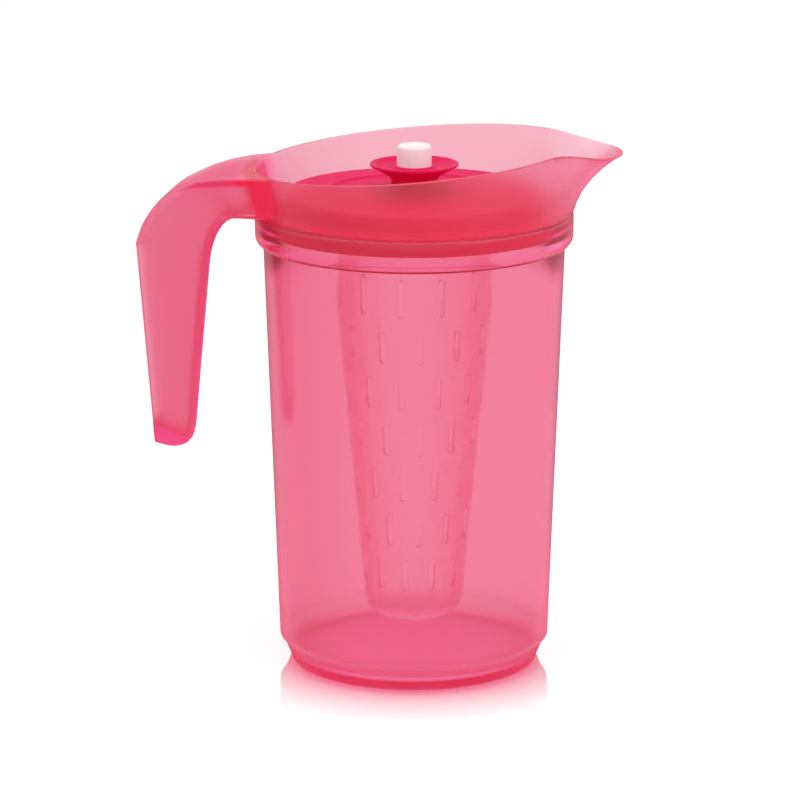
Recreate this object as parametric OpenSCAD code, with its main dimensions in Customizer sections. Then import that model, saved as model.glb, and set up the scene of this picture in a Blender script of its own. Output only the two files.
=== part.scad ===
// Fruit infuser pitcher: a tapered jug with a seated seal, a push button in
// the seal's grip, and a slotted infuser basket that hangs under the seal.
// The origin is on the jug's axis at the table. +X points to the spout and
// +Z points up, so the handle is on -X. Lengths are in millimetres.

/* [Jug body] */
// How far the flat foot stands in from the wall's lower end
foot_in = 5; // [2.5:0.1:8]
// Height of the rounded foot
foot_h = 8; // [4:0.1:12]
// Height of the small ledge between the foot and the wall
foot_ledge_h = 2.2; // [1.5:0.1:5]
// How far the wall stands proud of the foot's top
foot_ledge = 1.75; // [0.5:0.05:3]
// How far the wall tapers in, from the collar down to the foot
wall_taper = 5.8; // [2:0.1:8]
// Height of the collar's lower edge above the table
collar_z = 178.6; // [150:0.1:220]
// Thickness of the jug's wall
wall = 2; // [1.4:0.1:2.6]
// Thickness of the jug's floor
floor_t = 3.8; // [2.5:0.1:5]

/* [Collar] */
// Outer radius of the collar
collar_r = 66.1; // [56:0.1:76]
// How far the collar stands proud of the wall under it
collar_proud = 3.4; // [2.4:0.1:5]
// Height of the collar, from its lower edge to its shoulder
collar_h = 13.4; // [12:0.1:18]
// Height of the rounding under the collar
collar_round_h = 4.2; // [3:0.1:5]
// Radius of the rounded shoulder on top of the collar
shoulder_round = 1; // [0.4:0.1:1.2]

/* [Crown and spout] */
// Thickness of the crown's wall
crown_wall = 1.5; // [1.2:0.1:1.9]
// How far the crown's wall stands in from the collar
crown_step = 1.2; // [1.1:0.1:2]
// How far the rim draws in over the crown's root, across the jug
rim_in = 0.5; // [0:0.1:1.5]
// How far the rim flares towards the handle, past its half width
rim_back_flare = 2.6; // [1.5:0.1:4]
// Height of the rim above the collar's shoulder, at the handle
rim_back_h = 18.2; // [15:0.1:26]
// Reach of the spout past the rim's circle
spout_reach = 19.1; // [12:0.1:26]
// Half width of the spout, as an angle about the jug's axis
spout_spread = 20; // [16:0.5:26]
// How far the lip dips at the tip of the spout
spout_dip = 5.95; // [3:0.05:9]

/* [Handle] */
// Reach of the handle past the rim
handle_reach = 47.9; // [42:0.1:58]
// Length of the handle, from its top to its free lower end
handle_len = 118.4; // [105:0.1:130]
// Height of the bend, from the handle's top to its back edge
bend_h = 29.5; // [26:0.1:34]
// Depth of the neck where it leaves the jug
neck_depth = 17.6; // [15:0.1:21]
// Width of the neck where it leaves the jug
neck_w = 62; // [50:0.5:68]
// Length over which the neck narrows to the grip
neck_flare_len = 24; // [18:0.5:30]
// Width of the grip
grip_w = 24; // [20:0.5:28]
// Depth of the grip below its bend
grip_depth = 29; // [26:0.1:31]
// Depth of the grip near its lower end
grip_low_depth = 17.1; // [14:0.1:20]
// Wall thickness of the hollow handle
handle_wall = 2.2; // [1.6:0.1:2.8]
// Radius of the handle's crisp edges
crisp_r = 1.2; // [0.6:0.1:2]
// Depth of the shallow gutter along the neck's top
gutter_depth = 1.3; // [0.6:0.1:1.6]

/* [Seal] */
// Clearance round the seal in the jug
seal_clear = 0.3; // [0.2:0.05:0.5]
// Thickness of the seal's deck and its other thin walls
seal_wall = 1.8; // [1.4:0.1:2.2]
// Height of the seal's outer lip
lip_h = 7.7; // [6:0.1:9]
// Height of the deck above the lip
deck_rise = 7.3; // [5:0.1:9]
// How far the raised deck stands in from the seal's edge
deck_in = 8.8; // [5:0.1:12]
// How far the raised ring on the deck stands in from the deck's edge
ring_in = 17.2; // [10:0.1:20]
// Width of that ring
ring_w = 2.4; // [1.6:0.1:3.6]
// Height of that ring
ring_h = 0.7; // [0.4:0.1:1.2]
// How far the socket ring, which the infuser hangs from, stands in from that ring
socket_in = 2.6; // [1:0.1:4]
// Length of the socket ring below the deck
socket_len = 18; // [16:0.1:20]

/* [Grip and button] */
// Radius of the button
button_r = 7.2; // [6:0.1:8]
// Height of the button above its collar when it is up
button_h = 8.7; // [7:0.1:12]
// Travel of the button
button_travel = 4.5; // [3:0.1:5]
// Running clearance round the button and its stem
run_clear = 0.05; // [0.02:0.01:0.08]
// Wall thickness of the hollow button
button_wall = 1.5; // [1:0.1:2]
// Radius of the button's stem
stem_r = 2.8; // [2.2:0.1:3.4]
// How far the snap barb stands out from the stem
barb = 0.9; // [0.5:0.1:1.2]
// Wall thickness of the tube that guides the button
hub_wall = 2.25; // [1.6:0.05:3]
// Radius of the flared dish that is gripped to lift the seal
dish_r = 18.4; // [15:0.1:24]
// Height of the dish's rim above the deck
dish_h = 12.1; // [10:0.1:15]
// Thickness of the dish at its rim
dish_t = 1.2; // [0.8:0.1:1.6]
// Length of the guide tube below the deck's top
boss_len = 18.2; // [16:0.1:20]

/* [Infuser] */
// Wall thickness of the basket
basket_wall = 1.5; // [1.2:0.1:2]
// Outer radius at the basket's lower end, if its cone ran to a sharp corner
basket_low_r = 19.8; // [16:0.1:24]
// Gap between the basket's bottom and the jug's floor
basket_gap = 14.2; // [13:0.1:30]
// Radius of the rounding at the basket's bottom
basket_round = 9; // [5:0.1:12]
// Thickness of the band that fits on the socket ring
band_t = 1.75; // [1.4:0.05:3]
// Height of that band
band_h = 14; // [13:0.1:17]
// Length of the socket ring that the band covers
band_grip = 8; // [6:0.1:9]
// Height of the flare under the band
flare_h = 3.5; // [2:0.1:5]
// Width of a slot
slot_w = 2.7; // [1.6:0.1:3.4]
// Length of a slot
slot_len = 13.3; // [8:0.1:16]
// Distance from one row of slots to the next
slot_pitch = 20; // [18:0.1:26]
// Number of slots in a row
slots_per_row = 12; // [8:1:14]
// Number of rows of slots
slot_rows = 7; // [4:1:7]
// Height of the lowest row's middle above the basket's bottom
slot_low = 22.1; // [18:0.1:26]
// Turn of the slots about the axis, with the basket as it hangs in the seal
slot_turn = -10.3; // [-15:0.1:15]

/* [Hidden] */

// How far a cut runs past the face it opens
overrun = 1;
// How deep one piece of the jug's moulding starts inside another
sink = 2.5;

// Steps round a turned piece, round the crown and along a handle's corner
$fn = 96;
crown_steps = 72;
corner_steps = 5;

// Steps along a small rounding, the floor's and a basket's or collar's
round_steps = 4;
floor_steps = 6;
quarter_steps = 8;

// Radii of the jug, inwards from the collar
wall_top_r = collar_r - collar_proud;
wall_low_r = wall_top_r - wall_taper;
foot_r = wall_low_r - foot_in;
crown_base_r = collar_r - crown_step;
rim_half_w = crown_base_r - rim_in;

// Levels up the jug
wall_z = foot_h + foot_ledge_h;
collar_top = collar_z + collar_h;
rim_back_z = collar_top + rim_back_h;

// The collar's bore takes the seal, and the seal passes the crown above it
bore_r = rim_half_w - crown_wall;
seal_r = bore_r - seal_clear;
ledge_z = collar_z + collar_round_h + wall;

// Points of an elliptic quarter, from its low end outwards and up
function quarter(x, z, dx, dz) = [for (i = [0:quarter_steps]) let (a = 90 * i / quarter_steps)
    [x + dx * sin(a), z + dz * (1 - cos(a))]];

// Part of the way from a to b, eased at both ends, and a plain blend
function ease(t) = let (u = min(max(t, 0), 1)) u * u * (3 - 2 * u);
function mix(a, b, t) = a + (b - a) * t;

// Wraps an angle to the range from -180 to 180
function signed(a) = a > 180 ? a - 360 : a;

// Joins rings of points to a closed band, the last ring to the first
module band(rings) {
    n = len(rings[0]);
    m = len(rings);
    polyhedron(
        points = [for (r = rings) each r],
        faces = [for (j = [0:m - 1], i = [0:n - 1]) each let (k = (i + 1) % n, l = (j + 1) % m)
            [[j * n + i, l * n + i, l * n + k], [j * n + i, l * n + k, j * n + k]]],
        convexity = 8);
}

// Crown: its outline by the angle round the axis, which is 0 at the spout

spout_edge_power = 3.2;
rim_slope_share = 0.083;
dip_start_share = 0.85;
keel_shares = [0.35, 0.65];
keel_power = 2.5;
keel_base_share = 0.8;
rim_back_r = rim_half_w + rim_back_flare;
tip_x = rim_back_r + spout_reach;
dip_x = rim_half_w * dip_start_share;

function spout_at(a) = exp(-pow(abs(a) / spout_spread, spout_edge_power));
function rim_r(a) = rim_half_w + rim_back_flare * pow(cos(a), 2) + spout_reach * spout_at(a);
function rim_z(a) = let (x = rim_r(a) * cos(a))
    rim_back_z + rim_slope_share * (x + rim_back_r) - spout_dip * ease((x - dip_x) / (tip_x - dip_x));
function base_r(a) = crown_base_r + crown_step * keel_base_share * spout_at(a);

// Rise of the crown's skin from the shoulder, with its share of the flare
function keel(t) = keel_shares[0] * t + keel_shares[1] * pow(t, keel_power);
function keel_slope(t) = keel_shares[0] + keel_shares[1] * keel_power * pow(t, keel_power - 1);
function crown_r(a, t) = mix(base_r(a), rim_r(a), keel(t));
function crown_z(a, t) = mix(collar_top, rim_z(a), t);

// Thickness measured level, which keeps the wall's own thickness on a slope
thickest_share = 2;
function crown_t(a, t) = let (slope = (rim_r(a) - base_r(a)) * keel_slope(t) / (rim_z(a) - collar_top))
    crown_wall * min(sqrt(1 + slope * slope), thickest_share);

function ring_at(r, a, z) = [r * cos(a), r * sin(a), z];

// The angles crowd together at the spout
crowd_angle = 30;
crown_angles = [for (i = [0:crown_steps - 1]) let (u = 360 * i / crown_steps)
    signed(u - crowd_angle * sin(u))];
crown_levels = [0, 0.2, 0.4, 0.6, 0.78, 0.92, 1];
lip_levels = [1, 0.92, 0.78, 0.6, 0.4, 0.2, 0];
lip_round = crown_wall / 4;

module crown() {
    outer = [for (t = crown_levels) [for (a = crown_angles)
        ring_at(crown_r(a, t), a, crown_z(a, t) - (t == 1 ? lip_round : 0))]];
    inner = [for (t = lip_levels) [for (a = crown_angles)
        ring_at(crown_r(a, t) - crown_t(a, t), a, crown_z(a, t) - (t == 1 ? lip_round : 0))]];
    crest = [for (s = [lip_round, -lip_round]) [for (a = crown_angles)
        ring_at(crown_r(a, 1) - crown_t(a, 1) / 2 + s, a, crown_z(a, 1))]];
    roots = [for (s = [1, 0]) [for (a = crown_angles)
        ring_at(crown_r(a, 0) - crown_t(a, 0) * s, a, collar_top - sink)]];
    band(concat([roots[1]], outer, crest, inner, [roots[0]]));
}

// Handle: its side outline is given by two curves, the back and the inside,
// as distances out from the rim and down from the handle's top

neck_drop = crown_wall / 10;
handle_z = rim_back_z - neck_drop;
back_shares = [[0, 0], [0.54, 0], [0.884, 0.42], [1, 1]];
grip_lean_share = 0.0712;
inner_bend_share = 0.77;
inner_bend_shares = [[0, 0], [0.7, 0], [0.87, 0.29], [1, 1]];
inner_bend_h = bend_h * inner_bend_share;
grip_top = [handle_reach - grip_depth, neck_depth + inner_bend_h];

function bezier(p, t) =
    pow(1 - t, 3) * p[0] + 3 * pow(1 - t, 2) * t * p[1] + 3 * (1 - t) * t * t * p[2] + pow(t, 3) * p[3];
function back_at(t) = bezier([for (p = back_shares) [p[0] * handle_reach, p[1] * bend_h]], t);
function inside_at(t) =
    bezier([for (p = inner_bend_shares) [p[0] * grip_top[0], neck_depth + p[1] * inner_bend_h]], t);

// Stations along the handle, each with its point on the back and the inside
bend_steps = 12;
grip_steps = 4;
end_steps = 5;
end_round_share = 0.55;
back_end_share = 0.3;
end_turn = 78;
end_round = grip_low_depth * end_round_share;
back_end = handle_len - end_round * back_end_share;
grip_low = [handle_reach - grip_low_depth - grip_lean_share * (back_end - bend_h), handle_len - end_round];
back_low = [handle_reach - grip_lean_share * (back_end - bend_h), back_end];
back_mid = [handle_reach - grip_lean_share * (grip_low[1] - bend_h), grip_low[1] - end_round / 2];

bend_stations = [for (i = [0:bend_steps]) let (t = i / bend_steps) [back_at(t), inside_at(t)]];
grip_stations = [for (i = [1:grip_steps]) let (t = i / grip_steps)
    [mix([handle_reach, bend_h], back_mid, t), mix(grip_top, grip_low, t)]];
end_stations = [for (i = [1:end_steps]) let (a = end_turn * i / end_steps)
    [mix(back_mid, back_low, i / end_steps),
     [grip_low[0] + end_round * (1 - cos(a)), grip_low[1] + end_round * sin(a)]]];
stations = concat(bend_stations, grip_stations, end_stations);

// Half width of the handle by its distance out, and by its distance along
flare_power = 1.5;
function half_w(d) =
    grip_w / 2 + (neck_w - grip_w) / 2 * (1 - pow(min(max(d / neck_flare_len, 0), 1), flare_power));
end_narrow_shares = [0.02, 0.06, 0.13, 0.24, 0.4];
function narrow(i) = let (k = i - bend_steps - grip_steps - 1) k < 0 ? 1 : 1 - end_narrow_shares[k];

// Corner radii: the bend's back is crowned, the neck's top and the grip's back edge are crisp.
// The crown of the bend comes and goes over these shares of the bend.
soft_share = 0.22;
crowned_share = 0.4;
crown_in_shares = [0.42, 0.58];
crown_out_shares = [0.8, 1];
soft_r = grip_w * soft_share;
function over(t, span) = ease((t - span[0]) / (span[1] - span[0]));
function back_round(i) = let (t = i / bend_steps)
    t >= 1 ? crisp_r
    : mix(crisp_r, grip_w * crowned_share, over(t, crown_in_shares) * (1 - over(t, crown_out_shares)));

// One section, from its inside point a to its back point b: a rounded box that
// runs round by the +Y side, with points across the inside and across the back,
// where a shallow trough of the given depth lies
trough_shares = [0.52, 0.24, -0.24, -0.52];
function section(a, b, w, ra, rb, trough) = let (l = norm(b - a), u = (b - a) / l,
    corners = [[l - rb, w - rb, 0, rb], [ra, w - ra, 90, ra],
               [ra, ra - w, 180, ra], [l - rb, rb - w, 270, rb]],
    arcs = [for (c = corners) [for (i = [0:corner_steps]) let (g = c[2] + 90 * i / corner_steps)
        [c[0] + c[3] * cos(g), c[1] + c[3] * sin(g)]]],
    across = [for (q = trough_shares) [0, q * (w - ra)]],
    back = [for (q = trough_shares) [l - (abs(q) < max(trough_shares) ? trough : 0), -q * (w - rb)]])
    [for (q = concat(arcs[0], arcs[1], across, arcs[2], arcs[3], back))
        let (p = a + u * q[0]) [p[0], q[1], p[1]]];
section_n = 4 * (corner_steps + 1) + 2 * len(trough_shares);

// The columns of a section that lie across the back, between its two back corners
back_first = section_n - len(trough_shares) - 1;
function in_back(k) = k >= back_first;

// The point straight across the section from point k
function facing(k) = (2 * corner_steps + 1 - k + section_n) % section_n;

// Puts a section's point in the jug's frame, wrapped round the wall near the jug.
// The neck's top rises to its sides with the slope of the rim.
function wall_mid_r(y, z) =
    let (a = 180 - asin(y / rim_half_w), t = (z - collar_top) / (rim_z(a) - collar_top))
    t < 0 ? base_r(180) - crown_wall / 2 : crown_r(a, t) - crown_wall / 2;
function crest_rise(y) = rim_slope_share * (rim_back_r - sqrt(rim_back_r * rim_back_r - y * y));
function placed(p) = let (z = handle_z - p[2] + crest_rise(p[1]), r = wall_mid_r(p[1], min(z, rim_back_z)),
    at_wall = sqrt(r * r - p[1] * p[1]), s = min(max(p[0] / neck_flare_len, 0), 1))
    [-mix(at_wall, rim_back_r, s) - p[0], p[1], z];

// The neck's trough fades out towards the bend
full_round_share = 0.9;
trough_end_shares = [0.25, 0.5];
function trough_at(i) = gutter_depth * (1 - over(i / bend_steps, trough_end_shares));
outer_rings = [for (i = [0:len(stations) - 1]) let (s = stations[i], w = half_w(s[0][0]) * narrow(i))
    [for (p = section(s[1], s[0], w, min(soft_r, w * full_round_share), back_round(i), trough_at(i)))
        placed(p)]];

// The hollow runs from the neck round the bend, and opens through the grip's back
hollow_first = 1;
flare_wall_share = 0.6;
hollow_open = bend_steps;
hollow_last = bend_steps + grip_steps + 2;
back_line = (back_low - [handle_reach, bend_h]) / norm(back_low - [handle_reach, bend_h]);
function hollow_back(i) = let (s = stations[i], u = (s[0] - s[1]) / norm(s[0] - s[1]))
    i < hollow_open ? s[0] - u * (handle_wall + trough_at(i))
    : s[0] + back_line * handle_wall * (i == hollow_open ? 1 : i == hollow_last ? -1 : 0);
function hollow_inside(i) =
    let (s = stations[i], u = (s[0] - s[1]) / norm(s[0] - s[1])) s[1] + u * handle_wall;
function hollow_w(i) = let (d = stations[i][0][0])
    half_w(d) * narrow(i) - handle_wall * (1 + flare_wall_share * max(1 - d / neck_flare_len, 0));
inner_rings = [for (i = [hollow_first:hollow_last])
    [for (p = section(hollow_inside(i), hollow_back(i), hollow_w(i), max(soft_r - handle_wall, crisp_r / 2),
        max(back_round(i) - handle_wall, crisp_r / 2), 0)) placed(p)]];

// The handle is one skin: outside, hollow, and the rim round the opening in the back
module handle() {
    n = section_n;
    m = len(outer_rings);
    function out(i, k) = i * n + k % n;
    function in(i, k) = (m + i - hollow_first) * n + k % n;
    function opened(i, k) = i >= hollow_open && i < hollow_last && in_back(k);
    function quad(a, b, c, d) = [[a, b, c], [a, c, d]];
    function side(k, a, b, c, d) = k < 2 * (corner_steps + 1) ? [[a, b, d], [b, c, d]] : quad(a, b, c, d);
    function cap(row) = [for (s = [back_first - corner_steps:n + corner_steps - 1])
        let (k = s % n, l = (s + 1) % n) each quad(row + k, row + l, row + facing(l), row + facing(k))];
    function turned(faces) = [for (f = faces) [f[2], f[1], f[0]]];
    polyhedron(
        points = concat([for (r = outer_rings) each r], [for (r = inner_rings) each r]),
        faces = concat(
            [for (i = [0:m - 2], k = [0:n - 1]) if (!opened(i, k))
                each side(k, out(i, k), out(i + 1, k), out(i + 1, k + 1), out(i, k + 1))],
            [for (i = [hollow_first:hollow_last - 1], k = [0:n - 1]) if (!opened(i, k))
                each side(k, in(i, k), in(i, k + 1), in(i + 1, k + 1), in(i + 1, k))],
            cap(out(0, 0)), turned(cap(out(m - 1, 0))),
            turned(cap(in(hollow_first, 0))), cap(in(hollow_last, 0)),
            [for (i = [hollow_open:hollow_last - 1]) each concat(
                quad(out(i, back_first), out(i + 1, back_first), in(i + 1, back_first), in(i, back_first)),
                quad(out(i + 1, 0), out(i, 0), in(i, 0), in(i + 1, 0)))],
            [for (k = [back_first:n - 1]) each concat(
                quad(out(hollow_open, k + 1), out(hollow_open, k), in(hollow_open, k), in(hollow_open, k + 1)),
                quad(out(hollow_last, k), out(hollow_last, k + 1), in(hollow_last, k + 1), in(hollow_last, k)))]),
        convexity = 8);
}

// Jug: the turned body and collar, the crown and the handle are one moulding
module jug() {
    inner_low_r = wall_low_r - wall;
    floor_round = wall_z - floor_t + wall;
    slope = (wall_top_r - wall_low_r) / (collar_z - wall_z);
    lift = floor_t + floor_round - wall_z;
    color([0.93, 0.42, 0.54]) union() {
        rotate_extrude() polygon(concat(
            [[0, 0], [foot_r, 0], [wall_low_r - foot_ledge, foot_h], [wall_low_r, wall_z]],
            quarter(wall_top_r, collar_z, collar_r - wall_top_r, collar_round_h),
            [for (i = [0:round_steps]) let (a = 90 * i / round_steps)
                [collar_r - shoulder_round * (1 - cos(a)), collar_top - shoulder_round * (1 - sin(a))]],
            [[bore_r, collar_top], [bore_r, ledge_z], [wall_top_r - wall, collar_z + collar_round_h - wall]],
            [[inner_low_r + slope * lift, floor_t + floor_round]],
            [for (i = [1:floor_steps]) let (a = 90 * i / floor_steps)
                [inner_low_r + slope * lift - floor_round * (1 - cos(a)),
                 floor_t + floor_round * (1 - sin(a))]],
            [[0, floor_t]]));
        crown();
        handle();
    }
}

// Seal: one flexible turned moulding with its lip, deck, socket ring and grip
deck_r = seal_r - deck_in;
ring_r = deck_r - ring_in;
socket_r = ring_r - socket_in;
seal_z = ledge_z + seal_clear;
lip_top = seal_z + lip_h;
deck_z = lip_top + deck_rise;
under_z = deck_z - seal_wall;
button_bore_r = button_r + run_clear;
hub_r = button_bore_r + hub_wall;
stem_bore_r = stem_r + run_clear;
dish_z = deck_z + dish_h;
collar_ring_z = dish_z - dish_t;
collar_ring_w = hub_wall / 3;
dish_dip = dish_t;
dish_shares = [0.6, 0.5];
flare_shares = [3, 5];
boss_z = deck_z - boss_len;
web_z = boss_z + seal_wall;
lip_in_r = seal_r - seal_wall;
lip_bevel = seal_wall / 3;

module seal() {
    color([0.88, 0.22, 0.37]) rotate_extrude() polygon([
        [button_bore_r, collar_ring_z], [button_bore_r + collar_ring_w, collar_ring_z],
        [hub_r, collar_ring_z - dish_dip], [mix(hub_r, dish_r, dish_shares[0]), collar_ring_z - dish_dip / 2],
        [dish_r - dish_t / 2, dish_z], [dish_r, dish_z - dish_t / 3], [dish_r, dish_z - dish_t],
        [mix(hub_r, dish_r, dish_shares[1]), dish_z - dish_t * flare_shares[0]],
        [hub_r, dish_z - dish_t * flare_shares[1]],
        [hub_r, deck_z + seal_wall / 2], [hub_r + seal_wall / 2, deck_z],
        [ring_r - ring_w / 2 - ring_h, deck_z], [ring_r - ring_w / 2, deck_z + ring_h],
        [ring_r + ring_w / 2, deck_z + ring_h], [ring_r + ring_w / 2 + ring_h, deck_z],
        [deck_r - seal_wall / 2, deck_z], [deck_r, deck_z - seal_wall / 2],
        [deck_r + seal_wall / 2, lip_top], [seal_r - lip_bevel, lip_top], [seal_r, lip_top - lip_bevel],
        [seal_r, seal_z + lip_bevel], [seal_r - lip_bevel, seal_z],
        [lip_in_r, seal_z], [lip_in_r, lip_top - seal_wall],
        [deck_r - seal_wall / 2, lip_top - seal_wall], [deck_r - seal_wall, under_z],
        [socket_r, under_z], [socket_r, deck_z - socket_len + lip_bevel],
        [socket_r - lip_bevel, deck_z - socket_len],
        [socket_r - seal_wall, deck_z - socket_len], [socket_r - seal_wall, under_z],
        [hub_r + seal_wall / 2, under_z], [hub_r, under_z - seal_wall / 2],
        [hub_r, boss_z], [stem_bore_r, boss_z], [stem_bore_r, web_z], [button_bore_r, web_z]]);
}

// Push button: a hollow cap with a split stem, whose barbs catch under the guide tube
button_top = collar_ring_z + button_h;
button_skirt_z = web_z + button_travel + seal_clear;
barb_z = boss_z - seal_clear;
barb_h = stem_r;
button_round = button_wall;
split_w = stem_r / 2;
split_share = 0.4;
split_len = boss_len * split_share;
cap_share = 1.4;
cap_z = button_top - button_wall * cap_share;

module push_button() {
    tip_z = barb_z - barb_h;
    color([0.96, 0.86, 0.88]) difference() {
        rotate_extrude() polygon(concat(
            [[0, button_top], [button_r - button_round, button_top]],
            [for (i = [1:round_steps]) let (a = 90 * i / round_steps)
                [button_r - button_round * (1 - sin(a)), button_top - button_round * (1 - cos(a))]],
            [[button_r, button_skirt_z], [button_r - button_wall, button_skirt_z],
             [button_r - button_wall, cap_z], [stem_r, cap_z],
             [stem_r, barb_z], [stem_r + barb, barb_z], [stem_r - barb / 2, tip_z], [0, tip_z]]));
        translate([-split_w / 2, -stem_r * 2, tip_z - overrun])
            cube([split_w, stem_r * 4, split_len + overrun]);
    }
}

// Infuser: a slotted basket, pushed onto the socket ring by its band
band_in_r = socket_r + run_clear;
band_r = band_in_r + band_t;
band_step_z = deck_z - socket_len - seal_clear;
band_top = band_step_z + band_grip + seal_clear;
band_z = band_top - band_h;
basket_z = floor_t + basket_gap;
cone_top_r = band_in_r;
cone_slope = (cone_top_r - basket_low_r) / (band_z - flare_h - basket_z);

function cone_r(z) = basket_low_r + cone_slope * (z - basket_z);

module slot() {
    r = slot_w / 2;
    rotate([0, 90, 0]) linear_extrude(height = band_r) polygon([for (s = [0, 180], a = [-90:45:90])
        [(slot_len / 2 - r) * cos(s) + r * cos(a + s), r * sin(a + s)]]);
}

module infuser() {
    round_in = basket_round - basket_wall;
    r0 = cone_r(basket_z + basket_round);
    step_in_r = min(cone_top_r, socket_r) - basket_wall;
    color([0.95, 0.51, 0.6]) difference() {
        rotate_extrude() polygon(concat(
            [[0, basket_z]],
            quarter(r0 - basket_round, basket_z, basket_round, basket_round),
            [[cone_r(band_z - flare_h), band_z - flare_h], [band_r, band_z], [band_r, band_top]],
            [[band_in_r, band_top], [band_in_r, band_step_z], [step_in_r, band_step_z]],
            [[cone_r(band_z - flare_h) - basket_wall, band_z - flare_h]],
            [for (i = [0:quarter_steps]) let (a = 90 * i / quarter_steps)
                [r0 - basket_round + round_in * cos(a), basket_z + basket_round - round_in * sin(a)]],
            [[0, basket_z + basket_wall]]));
        for (row = [0:slot_rows - 1], k = [0:slots_per_row - 1])
            rotate([0, 0, (k + (row % 2) / 2) * 360 / slots_per_row - 90 + slot_turn])
                translate([0, 0, basket_z + slot_low + row * slot_pitch]) slot();
    }
}

jug();
seal();
push_button();
infuser();
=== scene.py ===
import math

import bmesh
import bpy
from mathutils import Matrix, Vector


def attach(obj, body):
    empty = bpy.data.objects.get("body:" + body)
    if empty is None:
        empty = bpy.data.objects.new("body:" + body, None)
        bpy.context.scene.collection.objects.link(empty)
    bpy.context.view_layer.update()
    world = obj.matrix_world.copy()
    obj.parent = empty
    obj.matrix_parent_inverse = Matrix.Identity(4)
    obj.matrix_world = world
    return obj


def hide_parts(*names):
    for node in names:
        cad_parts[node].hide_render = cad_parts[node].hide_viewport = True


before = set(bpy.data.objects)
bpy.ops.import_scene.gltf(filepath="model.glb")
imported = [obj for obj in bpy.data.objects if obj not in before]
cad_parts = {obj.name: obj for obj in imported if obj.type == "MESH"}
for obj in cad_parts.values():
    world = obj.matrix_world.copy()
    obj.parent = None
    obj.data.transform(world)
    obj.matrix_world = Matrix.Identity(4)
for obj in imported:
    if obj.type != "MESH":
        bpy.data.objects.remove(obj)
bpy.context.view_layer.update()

bpy.ops.object.select_all(action="DESELECT")


# Jug: one injection moulding in frosted pink polypropylene, with a collar that
# seats the seal, a crown drawn out into a spout, and a hollow handle that is
# open at its back. It is the CAD's own mesh, with its loose triangles joined.
SHARP = 35
JOINED = 2e-6


def linear(code):
    """An sRGB hex colour as the linear colour that a shader takes."""
    parts = [int(code[i:i + 2], 16) / 255 for i in (0, 2, 4)]
    return [c / 12.92 if c <= 0.04045 else ((c + 0.055) / 1.055) ** 2.4 for c in parts] + [1]


def add(material, kind, settings, links=()):
    """Adds a node to a material, with its settings and with links into its inputs."""
    made = material.node_tree.nodes.new(kind)
    for name, value in settings.items():
        if isinstance(name, int) or name in made.inputs:
            made.inputs[name].default_value = value
        else:
            setattr(made, name, value)
    for name, socket in dict(links).items():
        material.node_tree.links.new(socket, made.inputs[name])
    return made


def new_material(name):
    material = bpy.data.materials.new(name)
    material.use_nodes = True
    material.node_tree.nodes.clear()
    return material


def finish(piece, material, body):
    """Smooths a piece between its sharp edges and gives it its material and its body."""
    bpy.ops.object.select_all(action="DESELECT")
    bpy.context.view_layer.objects.active = piece
    piece.select_set(True)
    bpy.ops.object.shade_smooth_by_angle(angle=math.radians(SHARP))
    piece.data.materials.clear()
    piece.data.materials.append(material)
    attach(piece, body)


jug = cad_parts["jug"].copy()
jug.data = jug.data.copy()
jug.name = jug.data.name = "jug_moulding"
for key in list(jug.keys()):
    del jug[key]
bpy.context.scene.collection.objects.link(jug)
jug.parent = None
bpy.context.view_layer.objects.active = jug
jug.select_set(True)
bpy.ops.object.mode_set(mode="EDIT")
bpy.ops.mesh.select_all(action="SELECT")
bpy.ops.mesh.remove_doubles(threshold=JOINED)
bpy.ops.object.mode_set(mode="OBJECT")
bpy.ops.mesh.customdata_custom_splitnormals_clear()
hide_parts("jug")

# The mould's fine spark finish leaves a soft grain. It is drawn 0.3 mm across,
# coarser than a real one, so that it can show. The melt's flow leaves slow changes
# of gloss, tens of millimetres long.
GRAIN = 0.0003
GRAIN_DEPTH = 0.00005
FLOW = 0.03


def grained(material, strength):
    """The mould's spark finish, as a bump."""
    place = add(material, "ShaderNodeTexCoord", {})
    grain = add(material, "ShaderNodeTexNoise", {"Scale": 1 / GRAIN, "Detail": 1}, {
        "Vector": place.outputs["Object"]})
    return add(material, "ShaderNodeBump", {"Strength": strength, "Distance": GRAIN_DEPTH}, {
        "Height": grain.outputs["Fac"]})


def flowing(material, low, high):
    """The melt's slow changes of gloss, as a roughness between two values."""
    place = add(material, "ShaderNodeTexCoord", {})
    flow = add(material, "ShaderNodeTexNoise", {"Scale": 1 / FLOW, "Detail": 2}, {
        "Vector": place.outputs["Object"]})
    return add(material, "ShaderNodeMapRange", {"To Min": low, "To Max": high}, {
        "Value": flow.outputs["Fac"]})


# Frosted polypropylene: the eye sees a clear, tinted wall with a faint haze. The
# mould is matt on the grip, the foot and the crown, so these are hazier. A wall
# that the eye looks along is hazier than one that it faces, and deeper in colour,
# though less so in the crown. The colour is also painted deeper on the side of the
# handle and in the foot, as painted shade. The middle of the base is painted pale,
# as painted light for the light that comes up through it. A span is where a change
# starts and ends, in metres.
GRIP_SPAN, GRIP_HAZE = (-0.066, -0.076), 0.3
FOOT_SPAN, FOOT_HAZE = (0.008, 0.016), 0.3
CROWN_SPAN, CROWN_HAZE = (0.187, 0.194), 0.16
EDGE_HAZE, EDGE_POWER = 0.4, 3
CROWN_EDGE = 0.3
HANDLE_SIDE_SHADE_SPAN = (-0.075, -0.01)
FOOT_SHADE = 0.9
BASE_SPAN, BASE_PAINTED_LIGHT = (0.034, 0.054), 0.9

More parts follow.
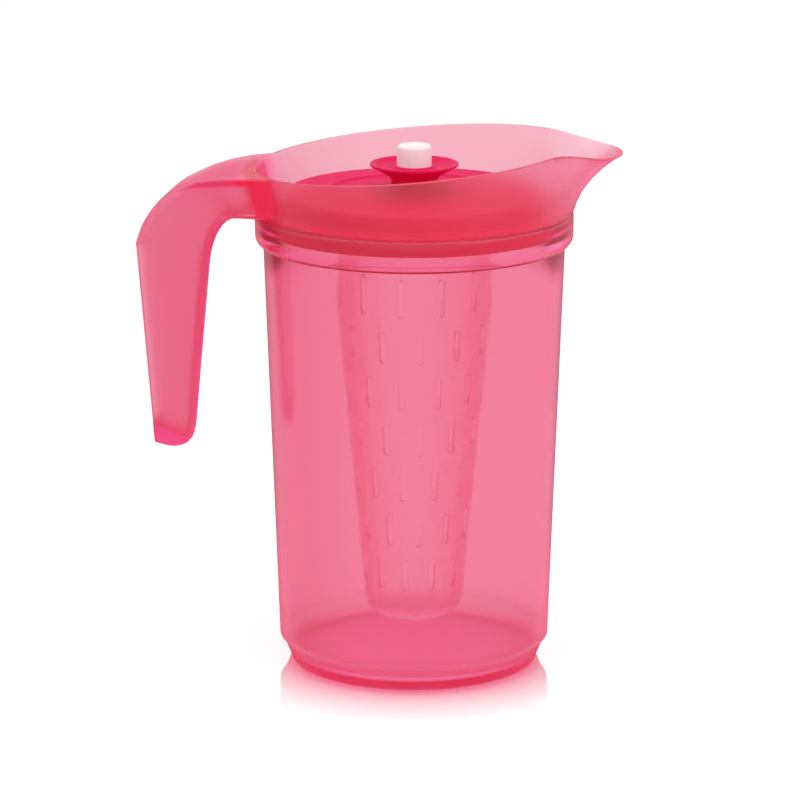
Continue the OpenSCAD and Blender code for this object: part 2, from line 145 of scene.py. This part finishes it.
frosted = new_material("moulded frosted polypropylene, pink")
place = add(frosted, "ShaderNodeTexCoord", {})
apart = add(frosted, "ShaderNodeSeparateXYZ", {}, {0: place.outputs["Object"]})
level = add(frosted, "ShaderNodeVectorMath", {"operation": "MULTIPLY", 1: (1, 1, 0)}, {
    0: place.outputs["Object"]})
from_axis = add(frosted, "ShaderNodeVectorMath", {"operation": "LENGTH"}, {0: level.outputs["Vector"]})
fades = {}
for name, along, span, start, end in (
        ("grip_haze", apart.outputs["X"], GRIP_SPAN, 0, GRIP_HAZE),
        ("foot_haze", apart.outputs["Z"], FOOT_SPAN, FOOT_HAZE, 0),
        ("crown_haze", apart.outputs["Z"], CROWN_SPAN, 0, CROWN_HAZE),
        ("edge_share", apart.outputs["Z"], CROWN_SPAN, 1, CROWN_EDGE),
        ("handle_side_shade", apart.outputs["X"], HANDLE_SIDE_SHADE_SPAN, 1, 0),
        ("base_middle", from_axis.outputs["Value"], BASE_SPAN, BASE_PAINTED_LIGHT / FOOT_HAZE, 0)):
    fades[name] = add(frosted, "ShaderNodeMapRange", {
        "interpolation_type": "SMOOTHSTEP", "From Min": span[0], "From Max": span[1],
        "To Min": start, "To Max": end}, {"Value": along}).outputs["Result"]

edge = add(frosted, "ShaderNodeLayerWeight", {"Blend": 0.5})
sheer = add(frosted, "ShaderNodeMath", {"operation": "POWER", 1: EDGE_POWER}, {0: edge.outputs["Facing"]})
edge_haze = add(frosted, "ShaderNodeMath", {"operation": "MULTIPLY", 1: EDGE_HAZE}, {0: sheer.outputs[0]})
ends = add(frosted, "ShaderNodeMath", {"operation": "MAXIMUM"}, {
    0: fades["crown_haze"], 1: fades["foot_haze"]})
matt = add(frosted, "ShaderNodeMath", {"operation": "MAXIMUM"}, {0: fades["grip_haze"], 1: ends.outputs[0]})
clear = add(frosted, "ShaderNodeMath", {"operation": "ADD"}, {
    0: flowing(frosted, 0.05, 0.1).outputs["Result"], 1: edge_haze.outputs[0]})
rough = add(frosted, "ShaderNodeMath", {"operation": "ADD"}, {0: clear.outputs[0], 1: matt.outputs[0]})

# Painted shade: the colour is mixed towards a deeper pink on the handle's side and in the foot.
foot = add(frosted, "ShaderNodeMath", {"operation": "MULTIPLY", 1: FOOT_SHADE / FOOT_HAZE}, {
    0: fades["foot_haze"]})
deeper = add(frosted, "ShaderNodeMath", {"operation": "MAXIMUM", "use_clamp": True}, {
    0: fades["handle_side_shade"], 1: foot.outputs[0]})
dyed_and_shaded = add(frosted, "ShaderNodeMix", {"data_type": "RGBA", 6: linear("F7C4CD"), 7: linear("F2AFBC")}, {
    0: deeper.outputs[0]})
along = add(frosted, "ShaderNodeMath", {"operation": "MULTIPLY"}, {
    0: sheer.outputs[0], 1: fades["edge_share"]})
edged = add(frosted, "ShaderNodeMix", {"data_type": "RGBA", 7: linear("FFA0B2")}, {
    0: along.outputs[0], 6: dyed_and_shaded.outputs[2]})
# Painted light: the middle of the base is mixed towards a pale white-pink.
painted_base_light = add(frosted, "ShaderNodeMath", {"operation": "MULTIPLY"}, {
    0: fades["foot_haze"], 1: fades["base_middle"]})
tint = add(frosted, "ShaderNodeMix", {"data_type": "RGBA", 7: linear("FFF6F8")}, {
    0: painted_base_light.outputs[0], 6: edged.outputs[2]})
skin = add(frosted, "ShaderNodeBsdfPrincipled", {
    "IOR": 1.49, "Specular IOR Level": 0.15, "Transmission Weight": 1.0,
}, {"Base Color": tint.outputs[2], "Roughness": rough.outputs[0],
    "Normal": grained(frosted, 0.05).outputs["Normal"]})
dye = add(frosted, "ShaderNodeVolumeAbsorption", {"Color": (1, 0, 0.62, 1), "Density": 90})
add(frosted, "ShaderNodeOutputMaterial", {}, {
    "Surface": skin.outputs["BSDF"], "Volume": dye.outputs["Volume"]})
finish(jug, frosted, "jug_body")


# Seal: one flexible turned moulding in deep pink polyethylene. Its lip fits the
# collar, and it carries a raised deck, a flared dish that is gripped to lift it,
# the tube that guides the button, and the socket ring for the infuser.

# From here to the infuser, sizes are in millimetres, and names that end in EDGE,
# ROUND, FOLD, FOOT, TIP and FILLET are roundings of corners. The dish's heights are
# counted in its thickness, DISH_T.
MM = 0.001
JOIN = MM / 200
SEAL_R, SEAL_Z = 62.6, 185.1
LIP_TOP, LIP_EDGE, LIP_FOLD, LIP_FOOT = 192.8, 0.8, 1, 0.6
DECK_Z, DECK_R, DECK_EDGE = 200.1, 53.8, 1.2
SEAL_WALL = 1.8
RING_R, RING_W, RING_H, RING_EDGE = 36.6, 2.4, 0.7, 0.4
SOCKET_R, SOCKET_Z, SOCKET_EDGE, SOCKET_TIP = 34, 182.1, 0.5, 0.7
DISH_R, DISH_Z, DISH_T, DISH_EDGE = 18.4, 212.2, 1.2, 0.45
FLARE_TOP_R, FLARE_TOP_ROUND = 14.84, 6
FLARE_LOW_R, FLARE_LOW_ROUND, NECK_ROUND = 13.95, 8, 4
HUB_R, HUB_RIM, HUB_EDGE, HUB_FOOT = 9.5, 1.5, 0.8, 1
HUB_BORE_R, STEM_BORE_R, BORE_EDGE = 7.25, 2.85, 0.3
TUBE_Z = 181.9
SEAL_STEPS, ROUND_STEPS = 180, 5


def rounded(corners):
    """An outline whose corners (radius, height, rounding) are turned to arcs."""
    outline = []
    for i, (r, z, size) in enumerate(corners):
        if not size:
            outline.append((r, z))
            continue
        here = Vector((r, z))
        back = (Vector(corners[i - 1][:2]) - here).normalized()
        ahead = (Vector(corners[(i + 1) % len(corners)][:2]) - here).normalized()
        half = back.angle(ahead) / 2
        centre = here + (back + ahead).normalized() * size / math.sin(half)
        arm = here + back * size / math.tan(half) - centre
        turn = math.copysign(math.pi - 2 * half, ahead.cross(back))
        for k in range(ROUND_STEPS + 1):
            c, s = math.cos(turn * k / ROUND_STEPS), math.sin(turn * k / ROUND_STEPS)
            outline.append((centre.x + arm.x * c - arm.y * s, centre.y + arm.x * s + arm.y * c))
    return outline


def turned(name, outline, steps):
    """An outline of radius and height in millimetres, spun round the axis."""
    bpy.ops.object.select_all(action="DESELECT")
    bpy.ops.mesh.primitive_plane_add(size=MM)
    piece = bpy.context.object
    piece.name = piece.data.name = name
    bpy.ops.object.mode_set(mode="EDIT")
    bpy.ops.mesh.merge(type="CENTER")
    r, z = outline[0]
    bpy.ops.transform.translate(value=(r * MM, 0, z * MM))
    for end in outline[1:] if r == 0 else outline[1:] + outline[:1]:
        step = ((end[0] - r) * MM, 0, (end[1] - z) * MM)
        bpy.ops.mesh.extrude_vertices_move(TRANSFORM_OT_translate={"value": step})
        r, z = end
    bpy.ops.mesh.select_all(action="SELECT")
    bpy.ops.mesh.remove_doubles(threshold=JOIN)
    bpy.ops.mesh.select_all(action="SELECT")
    bpy.ops.mesh.spin(steps=steps, angle=math.tau, center=(0, 0, 0), axis=(0, 0, 1))
    bpy.ops.mesh.select_all(action="SELECT")
    bpy.ops.mesh.remove_doubles(threshold=JOIN)
    bpy.ops.mesh.normals_make_consistent(inside=False)
    bpy.ops.object.mode_set(mode="OBJECT")
    return piece


UNDER_Z = DECK_Z - SEAL_WALL
RING_IN, RING_OUT = RING_R - RING_W / 2, RING_R + RING_W / 2
dish = [
    (HUB_BORE_R, DISH_Z - DISH_T, BORE_EDGE),
    (HUB_R - HUB_RIM, DISH_Z - DISH_T, BORE_EDGE),
    (HUB_R, DISH_Z - 2 * DISH_T, HUB_EDGE),
    (FLARE_TOP_R, DISH_Z - 1.5 * DISH_T, FLARE_TOP_ROUND),
    (DISH_R, DISH_Z, DISH_EDGE),
    (DISH_R, DISH_Z - DISH_T, DISH_EDGE),
    (FLARE_LOW_R, DISH_Z - 3 * DISH_T, FLARE_LOW_ROUND),
    (HUB_R, DISH_Z - 5 * DISH_T, NECK_ROUND),
    (HUB_R, DECK_Z, HUB_FOOT)]
deck = [
    (RING_IN - RING_H, DECK_Z, RING_EDGE),
    (RING_IN, DECK_Z + RING_H, RING_EDGE),
    (RING_OUT, DECK_Z + RING_H, RING_EDGE),
    (RING_OUT + RING_H, DECK_Z, RING_EDGE),
    (DECK_R, DECK_Z, DECK_EDGE),
    (DECK_R + SEAL_WALL / 2, LIP_TOP, LIP_FOLD)]
lip = [
    (SEAL_R, LIP_TOP, LIP_EDGE),
    (SEAL_R, SEAL_Z, LIP_EDGE),
    (SEAL_R - SEAL_WALL, SEAL_Z, LIP_FOOT),
    (SEAL_R - SEAL_WALL, LIP_TOP - SEAL_WALL, LIP_EDGE),
    (DECK_R - SEAL_WALL / 2, LIP_TOP - SEAL_WALL, LIP_FOLD),
    (DECK_R - SEAL_WALL, UNDER_Z, LIP_FOLD)]
socket = [
    (SOCKET_R, UNDER_Z, SOCKET_EDGE),
    (SOCKET_R, SOCKET_Z, SOCKET_TIP),
    (SOCKET_R - SEAL_WALL, SOCKET_Z, SOCKET_EDGE),
    (SOCKET_R - SEAL_WALL, UNDER_Z, SOCKET_EDGE)]
tube = [
    (HUB_R, UNDER_Z, HUB_EDGE),
    (HUB_R, TUBE_Z, BORE_EDGE),
    (STEM_BORE_R, TUBE_Z, BORE_EDGE),
    (STEM_BORE_R, TUBE_Z + SEAL_WALL, BORE_EDGE),
    (HUB_BORE_R, TUBE_Z + SEAL_WALL, BORE_EDGE)]
seal = turned("seal_moulding", rounded(dish + deck + lip + socket + tube), SEAL_STEPS)
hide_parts("seal")

# Flexible polyethylene: a deep, even pink that the light hardly enters, with a
# satin skin that shows no sharp highlight.
satin = new_material("moulded flexible polyethylene, deep pink")
skin = add(satin, "ShaderNodeBsdfPrincipled", {
    "Base Color": linear("E01A5A"), "IOR": 1.51, "Specular IOR Level": 0.05, "Transmission Weight": 0.06,
}, {"Roughness": flowing(satin, 0.45, 0.55).outputs["Result"],
    "Normal": grained(satin, 0.1).outputs["Normal"]})
add(satin, "ShaderNodeOutputMaterial", {}, {"Surface": skin.outputs["BSDF"]})
finish(seal, satin, "seal_body")


# Push button: a hollow cap on a split stem, moulded in undyed polypropylene. Its
# barbs catch under the seal's guide tube.
BUTTON_R, BUTTON_TOP, BUTTON_ROUND = 7.2, 219.7, 1.5
SKIRT_Z, SKIRT_EDGE = 188.5, 0.3
BUTTON_WALL, CAP_FILLET = 1.5, 0.6
CAP_T = 1.4 * BUTTON_WALL
STEM_R, STEM_FILLET = 2.8, 0.5
BARB, BARB_Z, BARB_H, BARB_EDGE, BARB_TIP = 0.9, 181.6, 2.8, 0.2, 0.3
SPLIT_W, SPLIT_TOP = 1.4, 186.1
BUTTON_STEPS = 96


def block(name, size, place):
    """A box of the given size, with its middle at the given place, in millimetres."""
    bpy.ops.object.select_all(action="DESELECT")
    bpy.ops.mesh.primitive_cube_add(
        size=1, scale=[side * MM for side in size], location=[c * MM for c in place])
    bpy.ops.object.transform_apply(location=True, rotation=True, scale=True)
    bpy.context.object.name = name
    return bpy.context.object


def cut_away(piece, cutters):
    """Cuts one mesh out of another, and removes it."""
    bpy.context.view_layer.objects.active = piece
    cut = piece.modifiers.new("cut", "BOOLEAN")
    cut.operation = "DIFFERENCE"
    cut.object = cutters
    bpy.ops.object.modifier_apply(modifier=cut.name)
    bpy.data.objects.remove(cutters)


button = turned("button_cap", rounded([
    (0, BUTTON_TOP, 0),
    (BUTTON_R, BUTTON_TOP, BUTTON_ROUND),
    (BUTTON_R, SKIRT_Z, SKIRT_EDGE),
    (BUTTON_R - BUTTON_WALL, SKIRT_Z, SKIRT_EDGE),
    (BUTTON_R - BUTTON_WALL, BUTTON_TOP - CAP_T, CAP_FILLET),
    (STEM_R, BUTTON_TOP - CAP_T, STEM_FILLET),
    (STEM_R, BARB_Z, BARB_EDGE),
    (STEM_R + BARB, BARB_Z, BARB_EDGE),
    (STEM_R - BARB / 2, BARB_Z - BARB_H, BARB_TIP),
    (0, BARB_Z - BARB_H, 0)]), BUTTON_STEPS)
# The split's tool runs past the stem on both sides and below the barbs.
tool_low = BARB_Z - 2 * BARB_H
cut_away(button, block(
    "split", (SPLIT_W, 4 * STEM_R, SPLIT_TOP - tool_low), (0, 0, (SPLIT_TOP + tool_low) / 2)))
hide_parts("push_button")

# Undyed polypropylene: a milky white that takes up a little of the light, and of
# the pink round it, with a soft highlight on its rounded edge.
white = new_material("moulded natural polypropylene, white")
skin = add(white, "ShaderNodeBsdfPrincipled", {
    "Base Color": linear("F9EAEE"), "IOR": 1.49, "Transmission Weight": 0.1,
    "Subsurface Weight": 0.1, "Subsurface Radius": (1, 0.6, 0.6), "Subsurface Scale": 0.003,
}, {"Roughness": flowing(white, 0.3, 0.42).outputs["Result"],
    "Normal": grained(white, 0.1).outputs["Normal"]})
add(white, "ShaderNodeOutputMaterial", {}, {"Surface": skin.outputs["BSDF"]})
finish(button, white, "button_body")


# Infuser: a slotted basket, moulded in a paler grade of the jug's plastic. Each
# slot lies in a shallow flute that the mould's slide leaves, and the band at the
# top pushes onto the seal's socket ring.
BASKET_Z, TOE_R, TOE_ROUND = 18, 19.8, 9
TOP_R, BAND_R = 34.05, 35.8
FLARE_Z, FLARE_ROUND, FLARE_FILLET = 172.6, 2, 1
BAND_Z, BAND_TOP, BAND_EDGE = 176.1, 190.1, 0.4
STEP_Z, STEP_EDGE = 181.8, 0.3
BASKET_WALL = 1.5
BASKET_STEPS = 180
SLOT_W, SLOT_LEN, SLOT_ROUND = 2.7, 13.3, 0.49
SLOT_ROWS, SLOTS_PER_ROW = 7, 12
SLOT_LOW, SLOT_PITCH = 40.1, 20
SLOT_TURN = -100.3
SLOT_IN_R, SLOT_OUT_R = 14, 38
FLUTE_DEPTH, FLUTE_LEN, FLUTE_EXTRA_W = 0.15, 24, 0.2
CONE = (TOP_R - TOE_R) / (FLARE_Z - BASKET_Z)


def select_edges(piece, test):
    bpy.ops.mesh.select_mode(type="EDGE")
    bpy.ops.mesh.select_all(action="DESELECT")
    mesh = bmesh.from_edit_mesh(piece.data)
    for edge in mesh.edges:
        edge.select_set(test(*(v.co for v in edge.verts)))
    bmesh.update_edit_mesh(piece.data)


def cut_slots(basket, tool, radius_at):
    """Cuts a copy of the tool at each slot, at the radius that its height gives."""
    copies = []
    for row in range(SLOT_ROWS):
        z = SLOT_LOW + SLOT_PITCH * row
        for k in range(SLOTS_PER_ROW):
            angle = math.radians((k + row % 2 / 2) * 360 / SLOTS_PER_ROW + SLOT_TURN)
            one = tool.copy()
            one.data = tool.data.copy()
            bpy.context.scene.collection.objects.link(one)
            r = radius_at(z)
            one.location = [c * MM for c in (r * math.cos(angle), r * math.sin(angle), z)]
            one.rotation_euler.z = angle
            copies.append(one)
    bpy.data.objects.remove(tool)
    bpy.ops.object.select_all(action="DESELECT")
    for one in copies:
        one.select_set(True)
    bpy.context.view_layer.objects.active = copies[0]
    bpy.ops.object.join()
    cut_away(basket, bpy.context.object)


infuser = turned("infuser_basket", rounded([
    (0, BASKET_Z, 0),
    (TOE_R, BASKET_Z, TOE_ROUND),
    (TOP_R, FLARE_Z, FLARE_ROUND),
    (BAND_R, BAND_Z, FLARE_ROUND),
    (BAND_R, BAND_TOP, BAND_EDGE),
    (TOP_R, BAND_TOP, BAND_EDGE),
    (TOP_R, STEP_Z, STEP_EDGE),
    (TOP_R - BASKET_WALL, STEP_Z, STEP_EDGE),
    (TOP_R - BASKET_WALL, FLARE_Z, FLARE_FILLET),
    (TOE_R - BASKET_WALL, BASKET_Z + BASKET_WALL, TOE_ROUND - BASKET_WALL),
    (0, BASKET_Z + BASKET_WALL, 0)]), BASKET_STEPS)

# The flute's tool reaches from the flute's depth to three times that above the
# wall. It is half as long at its inner face as at its outer one, so the length
# given here makes the flute FLUTE_LEN long where the tool leaves the wall.
flute = block("flute", (4 * FLUTE_DEPTH, SLOT_W + FLUTE_EXTRA_W, FLUTE_LEN * 1.6), (FLUTE_DEPTH, 0, 0))
bpy.ops.object.mode_set(mode="EDIT")
select_edges(flute, lambda a, b: a.x < 0 and b.x < 0)
bpy.ops.transform.resize(value=(1, 1, 0.5))
bpy.ops.object.mode_set(mode="OBJECT")
flute.rotation_euler.y = math.atan(CONE)
bpy.ops.object.transform_apply(location=True, rotation=True, scale=True)
cut_slots(infuser, flute, lambda z: TOE_R + CONE * (z - BASKET_Z))

slot = block(
    "slot", (SLOT_OUT_R - SLOT_IN_R, SLOT_W, SLOT_LEN), ((SLOT_OUT_R + SLOT_IN_R) / 2, 0, 0))
bpy.ops.object.mode_set(mode="EDIT")
select_edges(slot, lambda a, b: abs(a.x - b.x) > MM)
bpy.ops.mesh.bevel(offset=SLOT_W * SLOT_ROUND * MM, segments=ROUND_STEPS)
bpy.ops.object.mode_set(mode="OBJECT")
cut_slots(infuser, slot, lambda z: 0)
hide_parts("infuser")

# Frosted polypropylene with little dye: the basket is nearly clear where the eye
# faces it, and takes its pink where the eye looks along its wall.
PALE_POWER = 1.3
pale = new_material("moulded frosted polypropylene, basket")
edge = add(pale, "ShaderNodeLayerWeight", {"Blend": 0.5})
sheer = add(pale, "ShaderNodeMath", {"operation": "POWER", 1: PALE_POWER}, {0: edge.outputs["Facing"]})
tint = add(pale, "ShaderNodeMix", {"data_type": "RGBA", 6: linear("FFFEFE"), 7: linear("FAA0B4")}, {
    0: sheer.outputs[0]})
skin = add(pale, "ShaderNodeBsdfPrincipled", {
    "IOR": 1.49, "Specular IOR Level": 0.25, "Transmission Weight": 1.0,
}, {"Base Color": tint.outputs[2], "Roughness": flowing(pale, 0.15, 0.25).outputs["Result"],
    "Normal": grained(pale, 0.05).outputs["Normal"]})
dye = add(pale, "ShaderNodeVolumeAbsorption", {"Color": (1, 0, 0.45, 1), "Density": 10})
add(pale, "ShaderNodeOutputMaterial", {}, {
    "Surface": skin.outputs["BSDF"], "Volume": dye.outputs["Volume"]})
finish(infuser, pale, "infuser_body")


# Floor: a white gloss sheet that runs on behind the pitcher. Its polish is best
# right round the foot, where it mirrors the jug, and fades further out. What the
# walls mirror of it is mostly pink, a painted reflection that the sheet shows only
# to rays that the walls mirror, which keeps their edges deep.

# Lengths are in metres here, and POLISH and the three after it are shares of full strength.
FLOOR_SIZE, FLOOR_BACK, FLOOR_DROP = 8, 1.5, 0.0003
FOOT_EDGE, FADE_END, FADE_POWER = 0.052, 0.17, 4
POLISH = 0.85
LIFT = 0.3
BACKLIGHT = 0.9
PAINTED_REFLECTION_SHARE = 0.65
bpy.ops.object.select_all(action="DESELECT")
bpy.ops.mesh.primitive_plane_add(size=FLOOR_SIZE, location=(0, FLOOR_BACK, -FLOOR_DROP))
floor = bpy.context.object
floor.name = "floor"
bpy.ops.object.transform_apply(location=True, rotation=True, scale=True)


def seen_directly(material, rays):
    """Is 1 for rays from the camera, from a mirror and from a clear wall."""
    straight = add(material, "ShaderNodeMath", {"operation": "MAXIMUM"}, {
        0: rays.outputs["Is Camera Ray"], 1: rays.outputs["Is Glossy Ray"]})
    return add(material, "ShaderNodeMath", {"operation": "MAXIMUM"}, {
        0: straight.outputs[0], 1: rays.outputs["Is Transmission Ray"]})


sheet = new_material("white gloss acrylic sheet")
rays = add(sheet, "ShaderNodeLightPath", {})
lift = add(sheet, "ShaderNodeMath", {"operation": "MULTIPLY", 1: LIFT}, {
    0: seen_directly(sheet, rays).outputs[0]})
matt = add(sheet, "ShaderNodeBsdfDiffuse", {"Color": linear("F4F4F4")})
glow = add(sheet, "ShaderNodeEmission", {"Color": linear("FFFFFF")}, {"Strength": lift.outputs[0]})
pale_sheet = add(sheet, "ShaderNodeAddShader", {}, {0: matt.outputs[0], 1: glow.outputs[0]})
mirror = add(sheet, "ShaderNodeBsdfGlossy", {"Color": linear("FFFFFF"), "Roughness": 0.06})
place = add(sheet, "ShaderNodeTexCoord", {})
out = add(sheet, "ShaderNodeVectorMath", {"operation": "LENGTH"}, {0: place.outputs["Object"]})
near = add(sheet, "ShaderNodeMapRange", {
    "From Min": FOOT_EDGE, "From Max": FADE_END, "To Min": 1, "To Max": 0}, {
    "Value": out.outputs["Value"]})
fading = add(sheet, "ShaderNodeMath", {"operation": "POWER", 1: FADE_POWER}, {0: near.outputs["Result"]})
polish = add(sheet, "ShaderNodeMath", {"operation": "MULTIPLY", 1: POLISH}, {0: fading.outputs[0]})
glossed = add(sheet, "ShaderNodeMixShader", {}, {
    0: polish.outputs[0], 1: pale_sheet.outputs[0], 2: mirror.outputs[0]})
backlit = add(sheet, "ShaderNodeEmission", {"Color": linear("FFFFFF"), "Strength": 1})
through = add(sheet, "ShaderNodeMath", {"operation": "MULTIPLY", 1: BACKLIGHT}, {
    0: rays.outputs["Is Transmission Ray"]})
lit = add(sheet, "ShaderNodeMixShader", {}, {
    0: through.outputs[0], 1: glossed.outputs[0], 2: backlit.outputs[0]})
# Painted reflection: rays that the walls mirror see the sheet as pink, where the camera sees it white.
painted_reflection = add(sheet, "ShaderNodeEmission", {"Color": linear("FF7096"), "Strength": 1})
turned_back = add(sheet, "ShaderNodeMath", {"operation": "SUBTRACT"}, {
    0: rays.outputs["Is Glossy Ray"], 1: rays.outputs["Is Transmission Ray"]})
painted_reflection_mask = add(sheet, "ShaderNodeMath", {"operation": "MULTIPLY", "use_clamp": True, 1: PAINTED_REFLECTION_SHARE}, {
    0: turned_back.outputs[0]})
with_painted_reflection = add(sheet, "ShaderNodeMixShader", {}, {
    0: painted_reflection_mask.outputs[0], 1: lit.outputs[0], 2: painted_reflection.outputs[0]})
add(sheet, "ShaderNodeOutputMaterial", {}, {"Surface": with_painted_reflection.outputs[0]})
sheet.cycles.emission_sampling = "NONE"
floor.data.materials.append(sheet)


# Studio: an even white surround that lights the pitcher a little less than it
# shows, and two soft boxes, above and to the right.
world = bpy.data.worlds.new("white surround")
bpy.context.scene.world = world
world.use_nodes = True
world.cycles.sampling_method = "NONE"
world.node_tree.nodes.clear()
rays = add(world, "ShaderNodeLightPath", {})
dim = add(world, "ShaderNodeBackground", {"Color": linear("FFFFFF"), "Strength": 0.75})
full = add(world, "ShaderNodeBackground", {"Color": linear("FFFFFF"), "Strength": 1.0})
mixed = add(world, "ShaderNodeMixShader", {}, {
    0: seen_directly(world, rays).outputs[0], 1: dim.outputs[0], 2: full.outputs[0]})
add(world, "ShaderNodeOutputWorld", {}, {"Surface": mixed.outputs[0]})


def soft_box(name, place, aim, size, power):
    lamp = bpy.data.lights.new(name, "AREA")
    lamp.shape = "RECTANGLE"
    lamp.size, lamp.size_y = size
    lamp.energy = power
    holder = bpy.data.objects.new(name, lamp)
    bpy.context.scene.collection.objects.link(holder)
    holder.location = place
    holder.rotation_euler = (Vector(aim) - Vector(place)).to_track_quat("-Z", "Y").to_euler()


soft_box("top soft box", (-0.1, -0.2, 1.2), (0, 0, 0.15), (1.4, 1.2), 6)
soft_box("right soft box", (1.0, -0.8, 0.6), (0, 0, 0.12), (0.9, 0.9), 3)

# A ray through the jug and the infuser crosses 8 faces and is turned back in the
# walls more often than that, so the paths are let run long enough to come out.
CLEAR_BOUNCES, DIFFUSE_BOUNCES = 48, 16
bpy.context.scene.cycles.max_bounces = CLEAR_BOUNCES
bpy.context.scene.cycles.transmission_bounces = CLEAR_BOUNCES
bpy.context.scene.cycles.glossy_bounces = CLEAR_BOUNCES
bpy.context.scene.cycles.diffuse_bounces = DIFFUSE_BOUNCES
bpy.context.scene.cycles.blur_glossy = 0

# Camera: at the photograph's viewpoint, which the ellipses of the foot, the
# shoulder and the seal give.
PHOTO_PX, FOCAL_PX = 800, 3715
SENSOR = 36
LOOK_DOWN = 14.33
lens = bpy.data.cameras.new("camera")
lens.sensor_width = SENSOR
lens.lens = FOCAL_PX / PHOTO_PX * SENSOR
camera = bpy.data.objects.new("camera", lens)
bpy.context.scene.collection.objects.link(camera)
camera.location = (-0.0059, -1.512, 0.497)
camera.rotation_euler = (math.radians(90 - LOOK_DOWN), 0, 0)
bpy.context.scene.camera = camera

bpy.context.scene.view_settings.view_transform = "Standard"
